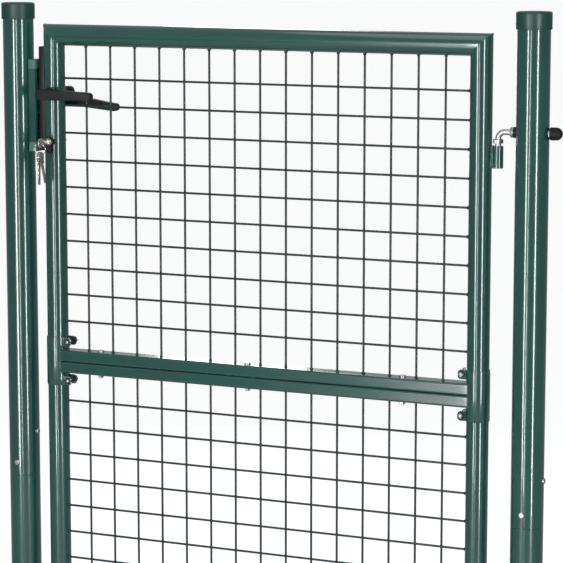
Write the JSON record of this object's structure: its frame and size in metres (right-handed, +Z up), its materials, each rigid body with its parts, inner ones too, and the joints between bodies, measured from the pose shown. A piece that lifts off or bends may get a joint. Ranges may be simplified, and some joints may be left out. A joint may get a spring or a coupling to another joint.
{
  "type": "single leaf mesh gate",
  "caption": "Single swing gate of welded mesh in a round tube frame, hung between two round posts on adjustable L bolt hinges, with a key lock.",
  "frame": {"origin": "centre of the hinge post's foot, on its flat end", "axes": "+X from the lock post towards the hinge post, +Y towards the back, +Z up"},
  "size_m": [1.0816, 0.1242, 1.75],
  "materials": {
    "green_powder_coat": "smooth gloss powder coat",
    "green_wire": "powder coat over galvanised wire",
    "green_plastic": "moulded, semi-gloss",
    "pale_green_plastic": "moulded, matte",
    "black_plastic": "moulded, fine texture",
    "black_lock": "black coat, satin",
    "zinc_steel": "bright zinc plate",
    "black_zinc": "dark zinc with a bright centre",
    "nickel": "nickel plate"
  },
  "bodies": {
    "posts": {"hinge_adjusting_nuts": "zinc_steel", "hinge_dome_caps": "black_plastic", "hinge_inner_nuts": "zinc_steel", "hinge_outer_nuts": "zinc_steel", "hinge_post_cap": "green_plastic", "hinge_post_joint_screws": "zinc_steel", "hinge_post_lower": "green_powder_coat", "hinge_post_upper": "green_powder_coat", "hinge_saddle_washers": "black_plastic", "keep_end_caps": "pale_green_plastic", "keep_screws": "zinc_steel", "keep_stop_strip": "green_powder_coat", "lock_keep": "green_powder_coat", "lock_post_cap": "green_plastic", "lock_post_joint_screws": "zinc_steel", "lock_post_lower": "green_powder_coat", "lock_post_upper": "green_powder_coat", "lower_hinge_bolt": "zinc_steel", "upper_hinge_bolt": "zinc_steel"},
    "leaf": {"bottom_rail": "green_powder_coat", "front_lever_bush": "black_plastic", "hinge_side_splice_clamp": "green_powder_coat", "lock_case": "black_lock", "lock_cylinder": "black_lock", "lock_side_splice_clamp": "green_powder_coat", "lower_hinge_barrel": "green_powder_coat", "lower_hinge_stile": "green_powder_coat", "lower_lock_stile": "green_powder_coat", "lower_mesh_crosswires": "green_wire", "lower_mesh_uprights": "green_wire", "lower_middle_rail": "green_powder_coat", "middle_rail_bolts": "zinc_steel", "middle_rail_nuts": "zinc_steel", "rear_lever_bush": "black_plastic", "splice_clamp_bolts": "black_zinc", "splice_clamp_nuts": "zinc_steel", "top_rail": "green_powder_coat", "upper_hinge_barrel": "green_powder_coat", "upper_hinge_stile": "green_powder_coat", "upper_lock_stile": "green_powder_coat", "upper_mesh_crosswires": "green_wire", "upper_mesh_uprights": "green_wire", "upper_middle_rail": "green_powder_coat"},
    "handle": {"front_lever": "black_plastic", "rear_lever": "black_plastic", "lever_spindle": "zinc_steel"},
    "latch": {"latch_bolt": "zinc_steel"},
    "dead_bolt": {"dead_bolt": "zinc_steel"},
    "key": {"key": "nickel", "cylinder_plug": "nickel"},
    "key_ring": {"key_ring": "nickel", "spare_keys": "nickel"}
  },
  "joints": [
    {"name": "leaf_swing", "type": "hinge", "parent": "posts", "child": "leaf", "pos_m": [-0.061, 0, 0], "axis": [0, 0, 1], "range_deg": [0, 110]},
    {"name": "handle_turn", "type": "hinge", "parent": "leaf", "child": "handle", "pos_m": [-0.9224, 0, 1.586], "axis": [0, 1, 0], "range_deg": [0, 35], "stiffness_Nm_per_rad": 1.2, "springref_deg": -20.05},
    {"name": "latch_slide", "type": "slide", "parent": "leaf", "child": "latch", "axis": [1, 0, 0], "range_m": [0, 0.004]},
    {"name": "key_turn", "type": "hinge", "parent": "leaf", "child": "key", "pos_m": [-0.9224, 0, 1.498], "axis": [0, 1, 0], "range_deg": [0, 360]},
    {"name": "dead_bolt_slide", "type": "slide", "parent": "leaf", "child": "dead_bolt", "axis": [-1, 0, 0], "range_m": [0, 0.0113]},
    {"name": "key_ring_swing", "type": "hinge", "parent": "key", "child": "key_ring", "pos_m": [-0.9224, -0.0576, 1.498], "axis": [0, 1, 0], "range_deg": [-40, 40]}
  ],
  "couplings": [
    {"joint": "latch_slide", "follows": "handle_turn", "m_per_rad": 0.0065},
    {"joint": "key_turn", "follows": "dead_bolt_slide", "rad_per_m": 555}
  ]
}
